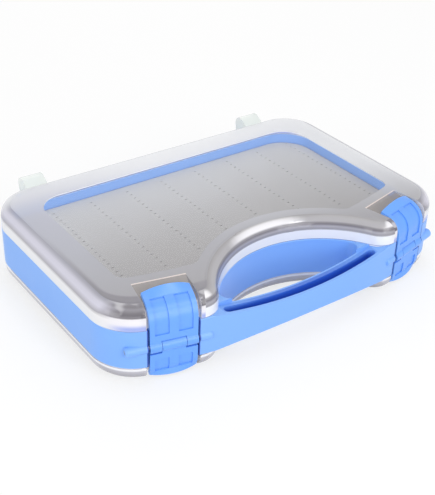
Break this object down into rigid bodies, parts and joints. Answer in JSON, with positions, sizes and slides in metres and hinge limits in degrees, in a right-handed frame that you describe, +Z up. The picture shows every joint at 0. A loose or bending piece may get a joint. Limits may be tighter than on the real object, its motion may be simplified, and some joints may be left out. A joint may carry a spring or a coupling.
{
  "type": "jig box",
  "caption": "Two-sided case for lures and jigs: a moulded frame with a carrying handle, slit foam in both trays, clear hinged lids and front latches.",
  "frame": {"origin": "centre of the bottom lid's flat face, on which the box stands, halfway between the back edge and the middle of the handle", "axes": "+Z up through the top lid, -Y out through the handle, +X along the length"},
  "size_m": [0.27, 0.2019, 0.0574],
  "materials": {
    "blue_plastic": "satin moulded blue plastic",
    "latch_plastic": "satin moulded blue plastic",
    "clear_plastic": "clear moulded plastic with a frosted rim",
    "foam": "matte closed-cell foam",
    "seal_rubber": "soft pale rubber",
    "pin_steel": "bright drawn wire"
  },
  "bodies": {
    "frame": {"frame": "blue_plastic", "top_foam": "foam", "bottom_foam": "foam", "top_gasket": "seal_rubber", "bottom_gasket": "seal_rubber", "left_top_hinge_pin": "pin_steel", "left_bottom_hinge_pin": "pin_steel", "right_top_hinge_pin": "pin_steel", "right_bottom_hinge_pin": "pin_steel", "left_latch_pin": "pin_steel", "right_latch_pin": "pin_steel"},
    "top_lid": {"top_lid": "clear_plastic"},
    "bottom_lid": {"bottom_lid": "clear_plastic"},
    "left_upper_latch": {"left_upper_latch": "latch_plastic"},
    "right_upper_latch": {"right_upper_latch": "latch_plastic"},
    "left_lower_latch": {"left_lower_latch": "latch_plastic"},
    "right_lower_latch": {"right_lower_latch": "latch_plastic"}
  },
  "joints": [
    {"name": "top_lid_hinge", "type": "hinge", "parent": "frame", "child": "top_lid", "pos_m": [0, 0.102, 0.0375], "axis": [-1, 0, 0], "range_deg": [0, 180]},
    {"name": "bottom_lid_hinge", "type": "hinge", "parent": "frame", "child": "bottom_lid", "pos_m": [0, 0.102, 0.0095], "axis": [-1, 0, 0], "range_deg": [-180, 0]},
    {"name": "left_upper_latch_pivot", "type": "hinge", "parent": "frame", "child": "left_upper_latch", "pos_m": [-0.09627, -0.08025, 0.0235], "axis": [0.9749, -0.2225, 0], "range_deg": [0, 95]},
    {"name": "right_upper_latch_pivot", "type": "hinge", "parent": "frame", "child": "right_upper_latch", "pos_m": [0.09627, -0.08025, 0.0235], "axis": [0.9749, 0.2225, 0], "range_deg": [0, 95]},
    {"name": "left_lower_latch_pivot", "type": "hinge", "parent": "frame", "child": "left_lower_latch", "pos_m": [-0.09627, -0.08025, 0.0235], "axis": [0.9749, -0.2225, 0], "range_deg": [-95, 0]},
    {"name": "right_lower_latch_pivot", "type": "hinge", "parent": "frame", "child": "right_lower_latch", "pos_m": [0.09627, -0.08025, 0.0235], "axis": [0.9749, 0.2225, 0], "range_deg": [-95, 0]}
  ]
}
